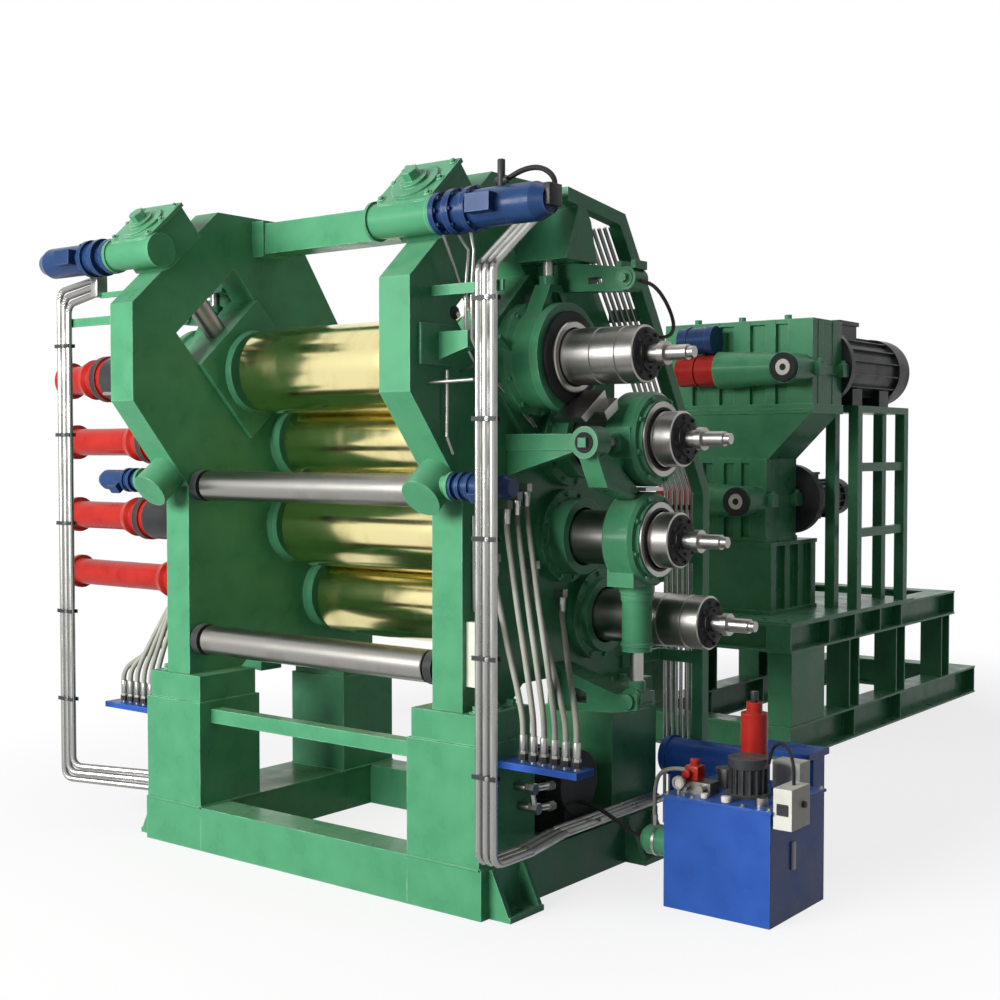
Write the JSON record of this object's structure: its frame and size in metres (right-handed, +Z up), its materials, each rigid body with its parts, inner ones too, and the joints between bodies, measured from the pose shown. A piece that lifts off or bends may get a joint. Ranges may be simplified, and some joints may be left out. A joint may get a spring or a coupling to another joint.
{
  "type": "rubber calender",
  "caption": "Green rubber calender with gold polished rolls in S arrangement between heavy side frames, screw adjusters, roll bending gear, drive stand and hydraulic unit.",
  "frame": {"origin": "centre of the calender's four anchor holes, on the floor", "axes": "+Z up; +X along the rolls towards the rotary joints; front of the machine faces -Y"},
  "size_m": [4.353, 6.102, 2.6585],
  "materials": {
    "green_enamel": "gloss enamel",
    "blue_enamel": "gloss enamel",
    "bright_steel": "turned and polished",
    "steel_pipe": "drawn tube",
    "gold_roll": "mirror polished, reflects warm light",
    "red_enamel": "gloss enamel",
    "dark_motor": "semi-gloss",
    "white_box": "satin",
    "hose": "braided cover"
  },
  "bodies": {
    "machine": {"base_side_beams": "green_enamel", "base_cross_beams": "green_enamel", "pedestals": "green_enamel", "frame_left": "green_enamel", "frame_right": "green_enamel", "top_tie_beam": "green_enamel", "adjuster_boxes": "green_enamel", "lower_adjusters": "green_enamel", "top_roll_housings": "green_enamel", "fixed_roll_housings": "green_enamel", "bending_housings": "green_enamel", "bending_cylinders": "green_enamel", "bending_brackets": "green_enamel", "link_arms": "green_enamel", "lever_arms": "green_enamel", "pipe_rack": "green_enamel", "stand_rails": "green_enamel", "stand_cross_beams": "green_enamel", "stand_deck": "green_enamel", "stand_posts": "green_enamel", "gearbox_supports": "green_enamel", "gearboxes": "green_enamel", "motor_stand": "green_enamel", "filter_canister": "green_enamel", "adjuster_motors": "blue_enamel", "manifold_trays": "blue_enamel", "oil_tank": "blue_enamel", "hydraulic_tank": "blue_enamel", "brake_motor": "blue_enamel", "adjuster_screws": "bright_steel", "hose_fittings": "bright_steel", "hydraulic_valves": "bright_steel", "pipe_bundles": "steel_pipe", "pipe_risers": "steel_pipe", "accumulator": "red_enamel", "guide_bearings": "dark_motor", "pump_motors": "dark_motor", "drive_motors": "dark_motor", "junction_box": "white_box", "control_boxes": "white_box", "hoses": "hose"},
    "roll_1": {"roll_1": "gold_roll", "roll_1_journals": "bright_steel", "drive_shaft_1": "red_enamel"},
    "roll_2": {"roll_2": "gold_roll", "roll_2_journals": "bright_steel", "drive_shaft_2": "red_enamel"},
    "roll_3": {"roll_3": "gold_roll", "roll_3_journals": "bright_steel", "drive_shaft_3": "red_enamel"},
    "roll_4": {"roll_4": "gold_roll", "roll_4_journals": "bright_steel", "drive_shaft_4": "red_enamel"},
    "guide_upper": {"guide_roller_upper": "bright_steel"},
    "guide_lower": {"guide_roller_lower": "bright_steel"},
    "output_upper": {"gear_coupling_upper": "red_enamel"},
    "output_lower": {"gear_coupling_lower": "red_enamel"}
  },
  "joints": [
    {"name": "roll_1_spin", "type": "hinge", "parent": "machine", "child": "roll_1", "pos_m": [0, -0.19087, 1.98994], "axis": [1, 0, 0], "continuous": true},
    {"name": "roll_2_spin", "type": "hinge", "parent": "machine", "child": "roll_2", "pos_m": [0, 0.07008, 1.69394], "axis": [1, 0, 0], "continuous": true},
    {"name": "roll_3_spin", "type": "hinge", "parent": "machine", "child": "roll_3", "pos_m": [0, 0.05004, 1.32398], "axis": [1, 0, 0], "continuous": true},
    {"name": "roll_4_spin", "type": "hinge", "parent": "machine", "child": "roll_4", "pos_m": [0, 0.266, 1.002], "axis": [1, 0, 0], "continuous": true},
    {"name": "guide_upper_spin", "type": "hinge", "parent": "machine", "child": "guide_upper", "pos_m": [0, -0.498, 1.50594], "axis": [1, 0, 0], "continuous": true},
    {"name": "guide_lower_spin", "type": "hinge", "parent": "machine", "child": "guide_lower", "pos_m": [0, -0.498, 0.862], "axis": [1, 0, 0], "continuous": true},
    {"name": "output_upper_spin", "type": "hinge", "parent": "machine", "child": "output_upper", "pos_m": [0, 2.61, 2.0956], "axis": [1, 0, 0], "continuous": true},
    {"name": "output_lower_spin", "type": "hinge", "parent": "machine", "child": "output_lower", "pos_m": [0, 2.61, 1.372], "axis": [1, 0, 0], "continuous": true}
  ]
}
